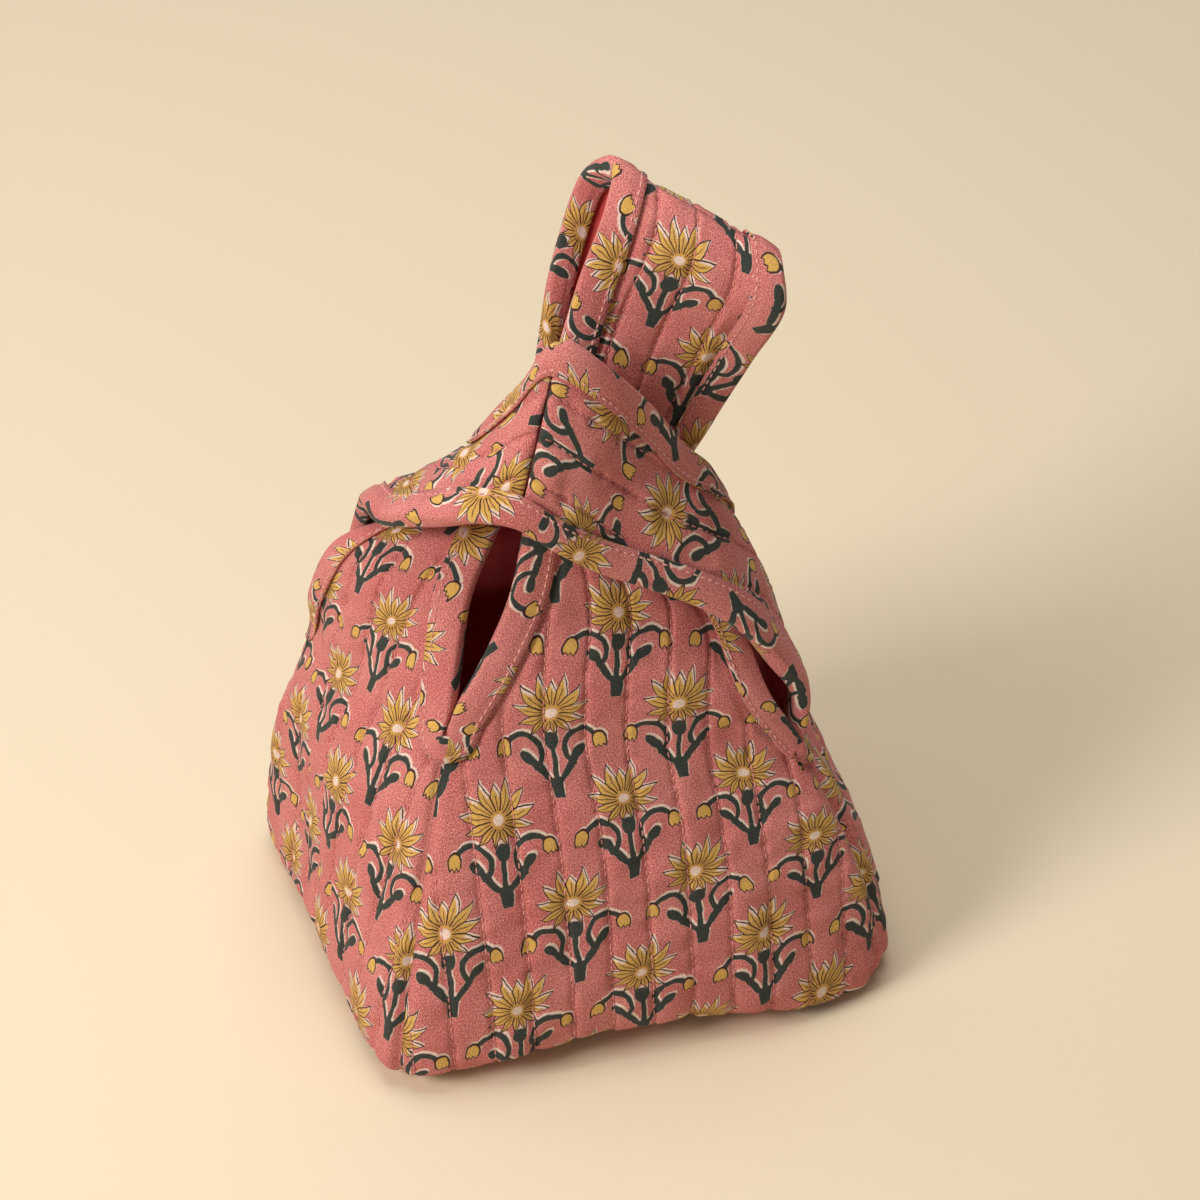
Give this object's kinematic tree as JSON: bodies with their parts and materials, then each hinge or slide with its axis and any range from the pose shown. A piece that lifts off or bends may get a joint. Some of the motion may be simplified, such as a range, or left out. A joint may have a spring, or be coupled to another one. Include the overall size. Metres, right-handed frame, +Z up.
{
  "type": "knot bag",
  "caption": "Soft quilted cotton knot bag with a long loop handle drawn up through a short one, bound edges and a plain lining.",
  "frame": {"origin": "middle of the base on the surface it stands on", "axes": "+Z up from the base to the loop; -Y towards the front panel; +X towards the right panel"},
  "size_m": [0.1914, 0.1578, 0.2881],
  "materials": {
    "panel_front": "quilted block-printed cotton, matt",
    "panel_left": "quilted block-printed cotton, matt",
    "panel_right": "quilted block-printed cotton, matt",
    "panel_back": "quilted block-printed cotton, matt",
    "lining_front": "plain cotton, matt",
    "lining_left": "plain cotton, matt",
    "lining_right": "plain cotton, matt",
    "lining_back": "plain cotton, matt",
    "base_panel": "quilted block-printed cotton, matt",
    "base_lining": "plain cotton, matt",
    "binding_long_armhole": "block-printed cotton bias strip, matt",
    "binding_short_armhole": "block-printed cotton bias strip, matt",
    "binding_neck": "block-printed cotton bias strip, matt"
  },
  "bodies": {
    "root": {"panel_front": "panel_front", "panel_left": "panel_left", "panel_right": "panel_right", "panel_back": "panel_back", "lining_front": "lining_front", "lining_left": "lining_left", "lining_right": "lining_right", "lining_back": "lining_back", "base_panel": "base_panel", "base_lining": "base_lining", "binding_long_armhole": "binding_long_armhole", "binding_short_armhole": "binding_short_armhole", "binding_neck": "binding_neck"}
  },
  "joints": []
}
